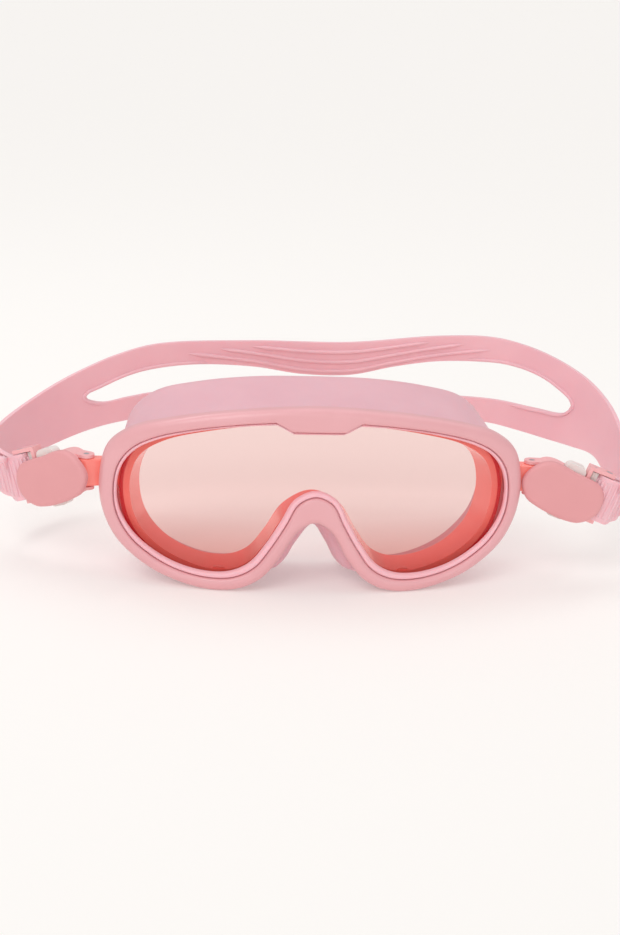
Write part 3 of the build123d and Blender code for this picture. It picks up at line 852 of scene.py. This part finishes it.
def build_ribs():
    """Three long ribs on the inner face of the upper band."""
    ribs = []
    spans = ((-45, 80, 0.87, 0.5), (-31, 69, 0.59, 0.33), (-18, 55, 0.29, 0.22))
    for number, (start, end, middle_share, end_share) in enumerate(spans, 1):
        points = []
        half = (end - start) / 2
        for k in range(SLOT_FIRST, SLOT_LAST):
            if start <= STRAP_ROWS[k, 0] <= end:
                top = STRAP_ROWS[k, 6] / 2
                away = abs(STRAP_ROWS[k, 0] - start - half) / half
                share = middle_share + (end_share - middle_share) * away**2.5
                height = top + (SLOT_TOP[k] - top) * share
                points.append(strap_point(k, height, -STRAP_THICKNESS / 2 - 0.1))
        ribs.append(bead(f"strap_rib_{number}", points, 0.75))
    return ribs


def build_slot_rims():
    """The raised rims round the two ends of the slot."""
    rims = []
    for side, (end, step, upper_reach, lower_reach) in {
        "left": (SLOT_FIRST, 1, 46, 8), "right": (SLOT_LAST, -1, 42, 26),
    }.items():
        inner = -STRAP_THICKNESS / 2 - 0.05
        above = [end + step * k for k in range(upper_reach, 0, -1)]
        below = [end + step * k for k in range(1, lower_reach)]
        upper = [strap_point(k, SLOT_TOP[k] + 0.75, inner) for k in above]
        lower = [strap_point(k, SLOT_BOTTOM[k] - 0.75, inner) for k in below]
        nose = [strap_point(end - step, (SLOT_TOP[end] + SLOT_BOTTOM[end]) / 2, inner)]
        path = evenly(through(np.array(upper + nose + lower), steps=4), 0.8)
        rims.append(bead(f"slot_rim_{side}", path, 0.7))
    return rims


def build_teeth(side):
    """The cross ribs on a tail and its turn round the bar, on the face away from the bar."""
    rows = range(2, MAIN_START - 4, 2) if side == "left" else range(MAIN_END + 4, len(STRAP_ROWS) - 2, 2)
    margin, foot_limit, end_drop = 1.6, 0.7, 0.7
    vertices, faces = [], []
    for k in rows:
        across, normal = STRAP_ROWS[k, 3:6], -STRAP_NORMALS[k]
        along = np.cross(across, normal)
        base = STRAP_ROWS[k, :3]
        first = len(vertices)
        reach = STRAP_END_WIDTH / 2 - margin
        profile = [(-0.55, 0.6), (-0.45, 1.15), (-0.25, 1.35), (0.25, 1.35), (0.45, 1.15), (0.55, 0.6)]
        for height in (-reach, -reach + 0.4, reach - 0.4, reach):
            low = end_drop if abs(height) == reach else 1.0
            for a, n in profile:
                out = n if n < foot_limit else n * low
                vertices.append(place(*(base + across * height + along * a + normal * out)))
        ring = len(profile)
        faces += [tuple(first + i for i in face) for face in grid_faces(4, ring, close_columns=True)]
        faces += [tuple(range(first, first + ring)), tuple(range(first + 3 * ring, first + 4 * ring))]
    return make_object(f"tail_teeth_{side}", vertices, faces, 50)


def build_button_spring(side):
    """The coil spring between the two buttons of a buckle."""
    matrix = buckle_matrix(side)
    turns = np.linspace(0, 8 * math.pi, 97)
    points = [
        matrix @ tilted(COIL_S + COIL_RADIUS * math.cos(a), COIL_LOW + COIL_PITCH * a / (2 * math.pi),
                        COIL_W + COIL_RADIUS * math.sin(a))
        for a in turns
    ]
    return bead(f"coil_spring_{side}", np.array(points), COIL_WIRE)


# ---- put the object together ----
finish_piece(build_bezel(), "mask", bezel_plastic, "bezel_plastic", "bezel")
finish_piece(build_rim(), "mask", gasket_silicone, "gasket_silicone", "lens_gasket")
finish_piece(build_frame_ring(), "mask", coral_plastic, "coral_plastic", "lens_frame")
finish_piece(build_skirt(), "mask", skirt_silicone, "skirt_silicone", "skirt")
for side in SIDES:
    finish_piece(build_lug(side), "mask", coral_plastic, "coral_plastic")
    finish_piece(build_snap_tab(side), "mask", coral_plastic, "coral_plastic")
    cover = build_cover(side)
    finish_piece(cover, f"buckle_{side}", cover_plastic, "cover_plastic", f"buckle_cover_{side}")
head_strap = finish_piece(build_strap(), "strap", strap_silicone, "strap_silicone", "strap")
strap_details = [*build_ribs(), *build_slot_rims(), *(build_teeth(side) for side in SIDES)]
for piece in strap_details:
    finish_piece(piece, "strap", strap_silicone, "strap_silicone")

# Each strap piece gets a mesh of its own.
for piece in [head_strap, *strap_details]:
    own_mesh(piece)

for side in SIDES:
    spring = build_button_spring(side)
    finish_piece(spring, f"buckle_{side}", spring_steel, "spring_steel", f"button_spring_{side}")
    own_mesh(spring)

CAD_MATERIALS = {
    "lens": tinted_lens, "buckle_body": buckle_plastic, "strap_bar": steel, "strap_pawl": button_plastic,
    "pawl_pin": steel, "pawl_spring": spring_steel, "upper_button": button_plastic,
    "lower_button": button_plastic, "hinge_pin": steel,
}
BEVELLED = {"buckle_body": 0.35, "upper_button": 0.5, "lower_button": 0.5}
for name, carried in nodes.items():
    kind = name.removesuffix("_left").removesuffix("_right")
    if kind in CAD_MATERIALS:
        carried.data.materials.clear()
        carried.data.materials.append(CAD_MATERIALS[kind])
        carried.data.polygons.foreach_set("use_smooth", [True] * len(carried.data.polygons))
        carried.data.set_sharp_from_angle(angle=math.radians(35))
    if kind in BEVELLED:
        add_bevel(carried, BEVELLED[kind])


# ---- floor, light and camera ----
def build_floor():
    """A plain pale floor under the goggles."""
    size = 60.0
    vertices = [(-size, -size, 0), (size, -size, 0), (size, size, 0), (-size, size, 0)]
    floor = make_object("floor", vertices, [(0, 1, 2, 3)])
    material = bpy.data.materials.new("floor")
    material.use_nodes = True
    surface = material.node_tree.nodes["Principled BSDF"]
    surface.inputs["Base Color"].default_value = srgb(228, 225, 222)
    surface.inputs["Roughness"].default_value = 0.9
    surface.inputs["Specular IOR Level"].default_value = 0.0
    surface.inputs["Emission Color"].default_value = (1, 0.995, 0.985, 1)
    surface.inputs["Emission Strength"].default_value = 0.23
    floor.data.materials.append(material)


def build_world():
    """An even white surround."""
    world = bpy.data.worlds.new("studio")
    world.use_nodes = True
    background = world.node_tree.nodes["Background"]
    background.inputs["Color"].default_value = (1, 0.99, 0.98, 1)
    background.inputs["Strength"].default_value = 0.55
    bpy.context.scene.world = world


def add_softbox(name, position, target, width, height, power):
    """A rectangular studio light that faces a target."""
    light = bpy.data.lights.new(name, "AREA")
    light.shape = "RECTANGLE"
    light.size, light.size_y = width, height
    light.energy = power
    lamp = bpy.data.objects.new(name, light)
    lamp.location = position
    lamp.rotation_euler = (Vector(target) - Vector(position)).to_track_quat("-Z", "Y").to_euler()
    bpy.context.scene.collection.objects.link(lamp)


def add_sun(name, position, softness, strength):
    """An even light from one direction, with soft-edged shadows."""
    light = bpy.data.lights.new(name, "SUN")
    light.angle = math.radians(softness)
    light.energy = strength
    lamp = bpy.data.objects.new(name, light)
    lamp.rotation_euler = (-Vector(position)).to_track_quat("-Z", "Y").to_euler()
    bpy.context.scene.collection.objects.link(lamp)


def build_camera():
    """The camera: a little above and left of the middle, with a slight roll."""
    azimuth, elevation, roll = math.radians(-6.0), math.radians(17.5), math.radians(2.6)
    distance, target = 0.65, place(0, 45, 36)
    back = Vector((
        math.sin(azimuth) * math.cos(elevation),
        -math.cos(azimuth) * math.cos(elevation),
        math.sin(elevation),
    ))
    data = bpy.data.cameras.new("camera")
    data.lens = 65.26
    data.sensor_width = 36.0
    data.shift_x, data.shift_y = 0.005, -0.004
    camera = bpy.data.objects.new("camera", data)
    turn = (-back).to_track_quat("-Z", "Y").to_matrix().to_4x4() @ Matrix.Rotation(roll, 4, "Z")
    camera.matrix_world = Matrix.Translation(target + back * distance) @ turn
    bpy.context.scene.collection.objects.link(camera)
    bpy.context.scene.camera = camera


build_floor()
build_world()
add_sun("key", (-0.45, -0.8, 0.95), 35.0, 0.78)
add_sun("fill", (0.1, -1.0, 0.05), 60.0, 0.5)
add_sun("top", (0.25, 0.2, 1.0), 60.0, 0.5)
add_softbox("streak", (-0.35, 0.15, 0.75), (-0.04, -0.04, 0.06), 0.5, 0.08, 0.7)
build_camera()
bpy.context.scene.view_settings.view_transform = "Standard"
